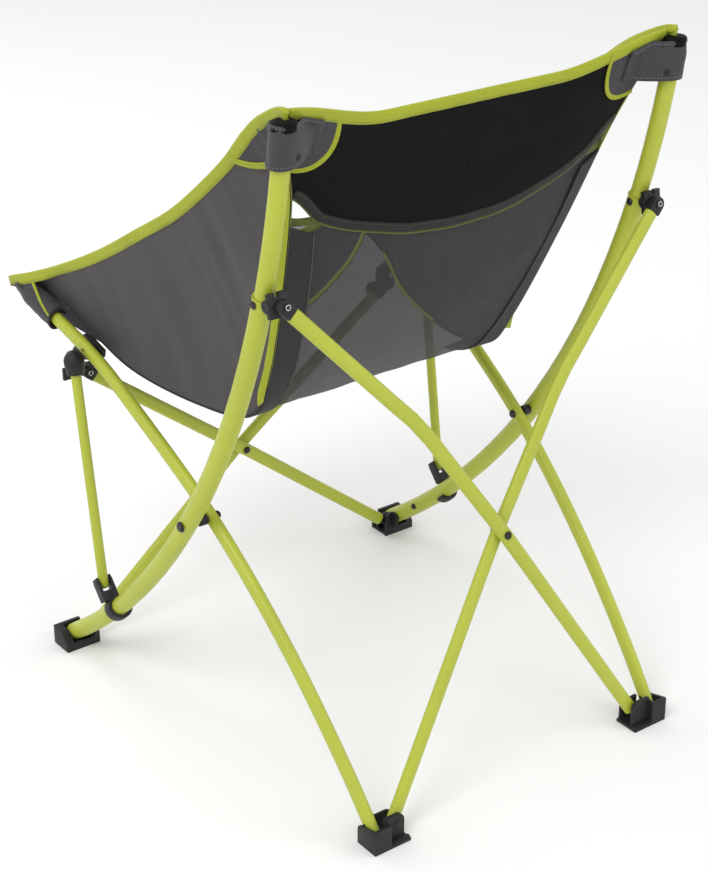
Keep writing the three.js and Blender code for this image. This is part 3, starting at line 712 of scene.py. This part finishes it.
class Half:
    """The fabric and trims of one side. The left is drawn, and here() mirrors it for the right."""

    def __init__(self, side, sign):
        self.side, self.sign, self.flip = side, sign, sign < 0

    def here(self, v):
        return Vector((v.x * self.sign, v.y, v.z))

    def middle(self, u, k):
        """This half of the middle panel, u from 0 at the middle to 1 at the seam."""
        return middle_point(self.sign * u, k)

    def turned(self, faces):
        """Faces listed for the left side, turned round on the right one to face out again."""
        return [tuple(reversed(f)) for f in faces] if self.flip else faces

    def build(self):
        for o in self.side_panel() + self.front_corner():
            moves_with_side(o, self.side, self.sign)
        self.leg_pocket()
        self.foot_plug()
        for o in self.corner_patches() + self.tip_sleeve():
            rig.ride(o, f"upright_{self.side}")
        self.snap()
        for o in self.back_panel() + self.mesh_panel():
            moves_with_back(o, self.side, self.sign)

    def side_panel(self):
        """Side panel, its binding along the rim, and the bound seam that joins it to the middle panels."""
        side, here = self.side, self.here
        panel = grid(f"side_cloth_{side}", lambda s, t: here(side_point(s, LAST * t)), 36, 150, SIDE, 1.0,
                     flip=not self.flip)
        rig.slot(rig.replaces(panel, f"side_panel_{side}"), "seat_fabric")
        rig.sheet(panel, flat=(0.3, 0.86), area=0.125, held="stretched",
                 rests_on=[f"upright_upper_{side}", f"side_leg_{side}"])
        ks = stations(0, LAST * 20 + 1)
        rim = [here(rim_tape(k)) for k in ks]
        inward = [here(rim_inward(k)) + Vector((0, 0, -20 * clamp(1 - k))) for k in ks]
        seam_ks = stations(0.9, 70)
        seam = [here(seam_at(k)) for k in seam_ks]
        off_back, off_seat = here(Vector((0.55, -0.8, 0.1))), here(Vector((0.6, 0.1, -0.8)))
        outward = [off_back.lerp(off_seat, smooth(k, 3.8, 4.6)) for k in seam_ks]
        # a thin black cord along the seam: painted shadow, a dark line where the seam binding shades the mesh
        cord = [here(seam_at(k)) for k in ks[2:-2]]
        inner = [here(seam_at(k) + Vector((-3, 0, 2.6))) for k in stations(6.2, 36)]
        return [panel,
                sweep(f"rim_binding_{side}", rim, inward, EDGE_TAPE, TAPE, 0.7),
                stitches(f"rim_stitches_{side}", rim, inward, *EDGE_STITCHES),
                sweep(f"seam_binding_{side}", seam, outward, tape_profile(8, 2.8), TAPE, 1.6),
                sweep(f"seam_shadow_cord_{side}", cord, [CORD_ACROSS] * len(cord), cord_profile(1.5), BLACK_TAPE),
                sweep(f"inner_piping_{side}", inner, [CORD_ACROSS] * len(inner), cord_profile(2.1), TAPE)]

    def front_corner(self):
        """The patch and gusset that carry the pocket over the tip of the side leg."""
        side, here = self.side, self.here

        def patch(s, t):
            top = rim_tape(mix(8.5, LAST, s)) + Vector((-0.6, 0, -9))
            low = leg_line(mix(-283, -350, s), 9, 6)
            bow = max(0.0, math.sin(math.pi * t)) ** 0.6
            ripple = noise.noise(Vector((s * 2, t * 2, 6)))
            return here(top.lerp(low, t) + Vector((1.8 * bow + 0.8 * ripple, 0, -2 * bow)))

        def gusset(s, t):
            seam, leg = side_point(0, mix(7.7, LAST, s)), leg_line(mix(-262, -352, s), -1, 9)
            return here(seam.lerp(leg, t))

        edge = [patch(-0.02, i / 20) for i in range(21)]
        forward = [here(Vector((0, -1, -0.4)))] * len(edge)
        return [grid(f"front_patch_{side}", patch, 16, 16, PATCH, 0.8, flip=not self.flip),
                grid(f"front_gusset_{side}", gusset, 24, 8, SIDE, 1.0, flip=not self.flip),
                sweep(f"front_piping_{side}", edge, forward, tape_profile(4.4, 2.6, 1), TAPE, 0.3)]

    def leg_pocket(self):
        """The bag over the tip of the side leg, closed at its front end."""
        side, here, n = self.side, self.here, ROUND
        rings = 19
        bag = []
        for i in range(rings):
            t = i / (rings - 1)
            swell = 1 + 0.07 * math.sin(math.pi * t) - 0.42 * smooth(t, 0.6, 1)
            bag.append((leg_line(mix(-282, -356, t), 0, -3 * smooth(t, 0.5, 1)), 10.6 * swell, 12.6 * swell))
        verts, uvs = [], []
        for i, (c, wide, tall) in enumerate(bag):
            for a in angles(n):
                pull = 1 + 0.05 * noise.noise(Vector((math.cos(a) * 1.3, math.sin(a) * 1.3, i * 0.35)))
                x, y, z = math.cos(a) * wide * pull, 0.33 * math.sin(a) * tall, math.sin(a) * tall * pull
                verts.append(here(c + Vector((x, y, z))))
                uvs.append((a * 0.012, -c.y / 1000))
        verts.append(here(bag[-1][0] + Vector((0, -3, 1))))
        uvs.append((0, 0.37))
        last = (rings - 1) * n
        faces = tube_faces(rings, n) + [(last + j, last + (j + 1) % n, len(verts) - 1) for j in range(n)]
        pocket = thicken(piece(f"leg_pocket_{side}", verts, self.turned(faces), PATCH, uvs), 1.0)
        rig.slot(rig.replaces(pocket, f"front_pocket_{side}"), "pocket_fabric")
        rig.ride(pocket, f"leg_{side}")
        mouth = verts[:n] + verts[:1]
        axis = here(Vector((-0.07, -1, 0.33)))
        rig.ride(sweep(f"pocket_mouth_{side}", mouth, [axis] * len(mouth), tape_profile(4.5, 2.6, 1), BLACK_TAPE),
                f"leg_{side}")
        ring = []
        for a in [2 * math.pi * j / n for j in range(n + 1)]:
            ring.append(here(bag[3][0] + Vector((math.cos(a) * 10.9, 4 * math.sin(a), math.sin(a) * 12.9))))
        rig.ride(stitches(f"pocket_stitches_{side}", ring, [axis] * len(ring), 0, (-0.4, 0.4), GREY_THREAD, **FINE,
                         radius=0.35), f"leg_{side}")

    def foot_plug(self):
        """The plug that carries the front cross tube's foot into the shoe."""
        here, other = self.here, "right" if self.side == "left" else "left"
        ends = [here(Vector((219, -268, 26.5))), here(Vector((234, -268, 14.6)))]
        plug = sweep(f"foot_plug_{self.side}", ends, [Vector((0, 1, 0))] * 2, cord_profile(4.8, 20), NYLON)
        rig.ride(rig.slot(plug, "plastic"), nodes[f"front_tube_{other}"]["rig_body"])

    def corner_patches(self):
        """The top corner's patch on the back and side panels, and its binding."""
        side, here = self.side, self.here

        def back_patch(s, t):
            u, k = patch_edge(s)
            return self.middle(mix(1, u, t), mix(s * 0.97, k, t)) + Vector((0, 1.1, 0))

        def side_patch(s, t):
            return here(side_point(s, side_patch_edge(s) * t) + Vector((1.1, 0, 0)))

        path = [self.middle(*patch_edge(i / 30)) + Vector((0, 1.8, 0)) for i in range(31)]
        for w in [i / 31 for i in range(1, 31)]:
            path.append(here(side_point(w, side_patch_edge(w)) + Vector((1.8, 0.4 * (1 - w), 0))))
        heart = here(Vector((238, 150, 775)))
        to_heart = [(heart - p).normalized() for p in path]
        return [grid(f"corner_patch_{side}", back_patch, 20, 16, PATCH, 0.8, flip=self.flip, uv=upright_uv),
                grid(f"side_patch_{side}", side_patch, 20, 28, PATCH, 0.8, flip=not self.flip),
                sweep(f"patch_binding_{side}", path, to_heart, tape_profile(5.5, 2.6, 2), TAPE, 0.4),
                stitches(f"patch_stitches_{side}", path, to_heart, 3.6, (-1.3, 1.3), LIME_THREAD, radius=0.36)]

    def tip_sleeve(self):
        """The sleeve over the tip of the upright, its lining, hems and seams."""
        side, here = self.side, self.here
        columns, last = 49, 18                        # points round the sleeve, and its last row
        rows = []
        for i in range(last + 1):
            z = mix(740, 782, i / last)
            row = smooth_line(sleeve_section(z), columns - 1)
            for j, v in enumerate(row):
                lean = math.sin(math.pi * j / (columns - 1))
                v.z += 2.5 * noise.noise(Vector((j / 9, 0.5, 2))) * smooth(z, 758, 779) \
                    - 3 * smooth(z, 762, 779) * smooth(j / (columns - 1), 0.55, 1)
                v += Vector((1, 1, 0)) * 0.7 * lean * noise.noise(Vector((j / 6, z / 13, 5)))
            rows.append([here(v) for v in row])
        self.sleeve_rows = rows
        verts = [v for row in rows for v in row]
        faces = [(a, a + 1, a + columns + 1, a + columns)
                 for i in range(last) for a in range(i * columns, (i + 1) * columns - 1)]
        uvs = [(j * 0.0019, i * 0.0026) for i in range(last + 1) for j in range(columns)]
        sleeve = thicken(piece(f"tip_sleeve_{side}", verts, self.turned(faces), PATCH, uvs), 1.2)
        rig.slot(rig.replaces(sleeve, f"top_pocket_{side}"), "pocket_fabric")
        pieces = [sleeve, self.tip_lining()]
        for tag, row, way, drop in (("bottom", rows[0], 1, 3.0), ("top", rows[-1], -1, 2.2)):
            up = [Vector((0, 0, way))] * columns
            pieces.append(sweep(f"sleeve_{tag}_hem_{side}", row, up, tape_profile(4.5, 2.6, 0.8), PATCH, 0.3))
            pieces.append(stitches(f"sleeve_{tag}_stitches_{side}", row, up, drop, (-1.35, 1.35), GREY_THREAD,
                                   **FINE, radius=0.34))
        tip = [here(seam_at(0)), here(rim_at(0) + Vector((0.6, 0.5, 0.3)))]
        pieces.append(sweep(f"tip_binding_{side}", tip, [Vector((0, 0, -1))] * 2, tape_profile(4.5, 3.8), TAPE))
        for tag, j in (("outer", 44), ("inner", 3)):
            column = [row[j] for row in rows]
            out = [row[j + 1] - row[j] for row in rows]
            pieces.append(stitches(f"sleeve_{tag}_seam_{side}", column, out, 0, (-0.75, 0.75), GREY_THREAD,
                                   **FINE, radius=0.34))
        return pieces

    def tip_lining(self):
        """Black lining that closes the sleeve over the tube's tip."""
        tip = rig.box(f"upright_upper_{self.side}")[1].z * 1000 + 1.2
        rings = [(12.6, 776), (12.9, 781), (12.6, tip - 1.5), (11, tip), (6, tip + 0.6), (0.6, tip + 0.7)]
        verts = [self.here(tube_at(z) + Vector((math.cos(a) * r, math.sin(a) * r - 0.6, 0)))
                 for r, z in rings for a in angles(ROUND)]
        faces = tube_faces(len(rings), ROUND) + [tuple(range(len(verts) - ROUND, len(verts)))]
        return piece(f"tip_lining_{self.side}", verts, self.turned(faces), BACK,
                     [(v.x / 1000, v.y / 1000) for v in verts])

    def snap(self):
        """The snap on the sleeve: a black disc with a rim and a dimple."""
        rows, n = self.sleeve_rows, 24
        at, beside, above = rows[4][30], rows[4][31], rows[5][30]
        out = (beside - at).cross(above - at).normalized() * (-1 if self.flip else 1)
        u_dir = (beside - at).normalized()
        v_dir = out.cross(u_dir)
        shape = [(3.4, 0), (3.4, 1.0), (3.0, 1.5), (2.2, 1.6), (1.7, 1.2), (1.2, 0.5), (0.6, 0.35)]
        verts = [at + (u_dir * math.cos(a) + v_dir * math.sin(a)) * r + out * (h + 0.2)
                 for r, h in shape for a in angles(n)]
        faces = tube_faces(len(shape), n) + [tuple(range(len(verts) - n, len(verts))), tuple(reversed(range(n)))]
        o = piece(f"snap_{self.side}", verts, self.turned(faces), RIVET)
        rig.ride(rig.slot(o, "rivets"), f"upright_{self.side}")

    def back_panel(self):
        """Half of the black back panel, from the middle to the seam, with its bindings."""
        side, middle = self.side, self.middle

        def cloth(s, t):
            return middle(past_middle(s), mix(0.0, back_hem(s), t))

        o = grid(f"back_cloth_{side}", cloth, 56, 44, BACK, 1.0, flip=self.flip, uv=upright_uv)
        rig.slot(o, "back_fabric")
        if side == "left":
            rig.replaces(o, "back_panel")
        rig.sheet(o, flat=(0.25, 0.17), area=0.034, held="stretched", rests_on=[f"upright_upper_{side}"])
        us = [-0.004] + [i / HALF_STEPS for i in range(HALF_STEPS + 1)]
        top = [middle(u, 0) for u in us]
        down = [middle(u, 0.3) - middle(u, 0) for u in us]
        hem = [middle(u, back_hem(u)) for u in us]
        up = [middle(u, back_hem(u) - 0.2) - middle(u, back_hem(u)) for u in us]
        mesh_edge = [middle(u, mesh_top(u)) - Vector((0, BEHIND, 0)) for u in us]
        cord = [p + v.normalized() * -3.0 for p, v in zip(hem, up)]
        return [o,
                sweep(f"top_binding_{side}", top, down, EDGE_TAPE, TAPE, 0.5),
                stitches(f"top_stitches_{side}", top, down, *EDGE_STITCHES),
                sweep(f"back_hem_{side}", hem, up, tape_profile(9, 3.2), BLACK_TAPE, 0.5),
                # the hem stitches, the hem cord and the mesh binding take the lime binding darkened by painted shade
                stitches(f"hem_stitches_{side}", hem, up, 6.6, (-1.55, 1.55), SHADED_LIME_TAPE, **FINE, radius=0.34),
                sweep(f"hem_cord_{side}", cord, up, cord_profile(1.3), SHADED_LIME_TAPE),
                sweep(f"mesh_binding_{side}", mesh_edge, [-v for v in up], tape_profile(8, 2.4), SHADED_LIME_TAPE, 0.5)]

    def mesh_panel(self):
        """Half of the mesh under the back panel, with the solid band along its seam."""
        side, middle = self.side, self.middle

        def mesh(s, t):
            return middle(s, mix(mesh_top(s), CREASE, t)) - Vector((0, BEHIND, 0)) * (1 - smooth(t, 0, 0.3))

        def band(s, t):
            k = mix(2.2, CREASE, t)
            return middle(1 - 28 / seam_at(k).x * s, k) + Vector((0, 0.9, -0.9))

        o = grid(f"mesh_cloth_{side}", mesh, 56, 80, MESH, 0, flip=self.flip, uv=level_uv)
        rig.slot(o, "mesh_fabric")
        if side == "left":
            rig.replaces(o, "mesh_panel")
        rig.sheet(o, flat=(0.215, 0.43), area=0.075, held="stretched", rests_on=[f"upright_lower_{side}"])
        strip = grid(f"mesh_band_{side}", band, 8, 60, DARK, 0.8, flip=not self.flip, uv=level_uv)
        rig.slot(strip, "seat_fabric")
        edge = [band(1, i / 80) for i in range(81)]
        outward = [self.here(Vector((1, 0, 0)))] * len(edge)
        return [o, strip, stitches(f"band_stitches_{side}", edge, outward, 1.5, (-0.6, 0.6), PALE_THREAD,
                                   pitch=3.4, length=3.0, radius=0.4)]


def seat_in_front():
    """The seat in front of the crease: mesh, solid front panel and their seam, across both halves."""
    def mesh(s, t):
        return middle_point(2 * s - 1, mix(CREASE, seat_arch(2 * s - 1), t))

    def solid(s, t):
        return middle_point(2 * s - 1, mix(seat_arch(2 * s - 1), LAST, t))

    front_mesh = grid("mesh_cloth_front", mesh, 110, 36, MESH, 0, uv=level_uv)
    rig.slot(front_mesh, "mesh_fabric")
    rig.sheet(front_mesh, flat=(0.4, 0.2), area=0.075, held="stretched",
             rests_on=["mesh_cloth_left", "mesh_cloth_right"])
    seat = grid("seat_cloth", solid, 110, 44, SIDE, 1.0, uv=level_uv)
    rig.slot(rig.replaces(seat, "seat_panel"), "seat_fabric")
    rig.sheet(seat, flat=(0.46, 0.2), area=0.048, held="stretched", rests_on=["side_leg_left", "side_leg_right"])
    us = [i / HALF_STEPS - 1 for i in range(2 * HALF_STEPS + 1)]
    arch = [middle_point(u, seat_arch(u)) for u in us]
    aft = [middle_point(u, seat_arch(u) - 0.3) - middle_point(u, seat_arch(u)) for u in us]
    edge = [middle_point(u, LAST) for u in us]
    edge_in = [middle_point(u, LAST - 0.3) - middle_point(u, LAST) for u in us]
    return [front_mesh, seat,
            sweep("arch_piping", arch, aft, tape_profile(4, 3.4, 2), TAPE, 0.4),
            sweep("front_binding", edge, edge_in, EDGE_TAPE, TAPE, 0.5),
            stitches("front_stitches", edge, edge_in, *EDGE_STITCHES)]


for side, sign in (("left", 1), ("right", -1)):
    Half(side, sign).build()
for o in seat_in_front():
    moves_with_seat(o)


# ---- finishes of the CAD pieces ----
def finish_of(name):
    """Material and slot of a CAD node."""
    if "rivet" in name or "pin" in name:
        return RIVET, "rivets"
    if any(word in name for word in ("upright", "leg", "tube", "strut_left", "strut_right")):
        return LIME, "powder_coat"
    return NYLON, "plastic"


for name, o in nodes.items():
    if o.hide_render:
        continue
    material, slot = finish_of(name)
    o.data.materials.clear()
    o.data.materials.append(material)
    o.data.shade_smooth()
    weld = o.modifiers.new("weld", "WELD")
    weld.merge_threshold = 1e-5
    if slot == "plastic":
        bevel = o.modifiers.new("edges", "BEVEL")
        bevel.width, bevel.segments = 0.0006, 2
        bevel.limit_method, bevel.angle_limit = "ANGLE", math.radians(40)
        bevel.use_clamp_overlap = True
    split = o.modifiers.new("split", "EDGE_SPLIT")
    split.split_angle = math.radians(38)


def steel_ring(node, joint):
    """The bright rim round a bracket rivet's head."""
    axis = Vector(next(j["axis"] for j in frame["joints"] if j["name"] == joint)).normalized()
    axis *= 1 if axis.y > 0 else -1
    low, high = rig.box(node)
    centre = (low + high) / 2
    face = max((v.co - centre).dot(axis) for v in nodes[node].data.vertices)
    a = axis.orthogonal().normalized()
    b = axis.cross(a)
    big, small, n, verts = 0.0026, 0.00055, 8, []     # the ring's radius, its wire's radius and the wire's sides
    for t in angles(ROUND):
        out = a * math.cos(t) + b * math.sin(t)
        for r in angles(n):
            at = centre + axis * face + out * (big + small * math.cos(r)) + axis * small * math.sin(r)
            verts.append((at - SHIFT) * 1000)
    faces = []
    for i in range(ROUND):
        here, ahead = i * n, (i + 1) % ROUND * n
        faces += [(here + j, ahead + j, ahead + (j + 1) % n, here + (j + 1) % n) for j in range(n)]
    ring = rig.slot(piece(f"ring_{node}", verts, faces, STEEL), "rivets")
    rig.ride(ring, nodes[node]["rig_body"])


for end, joint in (("rear", "rear_cross_top"), ("front", "front_cross_top")):
    for side in ("left", "right"):
        steel_ring(f"{end}_ring_rivet_{side}", joint)


# ---- floor, light and camera ----
def lamp(name, where, size, energy, aim=(0, 0, 0.4)):
    """A soft round lamp of that size in metres and energy in watts."""
    data = bpy.data.lights.new(name, "AREA")
    data.shape, data.size, data.energy = "DISK", size, energy
    o = bpy.data.objects.new(name, data)
    scene.collection.objects.link(o)
    o.location = where
    o.rotation_euler = (Vector(aim) - Vector(where)).to_track_quat("-Z", "Y").to_euler()


half = 9                                              # half the floor's width in metres
floor = bpy.data.meshes.new("floor")
floor.from_pydata([(-half, -half, 0), (half, -half, 0), (half, half, 0), (-half, half, 0)], [], [(0, 1, 2, 3)])
ground = Shader("pale_floor", 0.9)
ground.shade((0.86, 0.86, 0.86), ground.span(ground.noise(ground.space(False), 0.6), 0.99, 1.01))
floor.materials.append(ground.material)
floor = bpy.data.objects.new("floor", floor)
scene.collection.objects.link(floor)
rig.stage(floor)

world = bpy.data.worlds.new("studio")
scene.world = world
world.use_nodes = True
sky = world.node_tree.nodes["Background"]
sky.inputs["Color"].default_value = (1, 1, 1, 1)
sky.inputs["Strength"].default_value = 0.85
lamp("key", (2.6, 1.2, 3.4), 2.2, 70)
lamp("fill", (-2.4, 2.6, 2.2), 2.4, 30)
lamp("front", (0.5, -3.0, 2.4), 2.4, 25)
scene.view_settings.view_transform = "Standard"

HEADING, FALL = math.radians(217.05), math.radians(25.9)    # of the view: from +Y towards +X, and downwards
lens = bpy.data.cameras.new("camera")
lens.sensor_width, lens.lens = 36, 82.07
camera = bpy.data.objects.new("camera", lens)
scene.collection.objects.link(camera)
camera.location = point(1251.6, 1626.6, 1315.6)
gaze = Vector((math.sin(HEADING) * math.cos(FALL), math.cos(HEADING) * math.cos(FALL), -math.sin(FALL)))
camera.rotation_euler = gaze.to_track_quat("-Z", "Y").to_euler()
scene.camera = camera

with open("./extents.json", "w") as f:
    json.dump({"cad": [list(c) for c in cad_box], "visual": [list(c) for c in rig.bounds()]}, f)
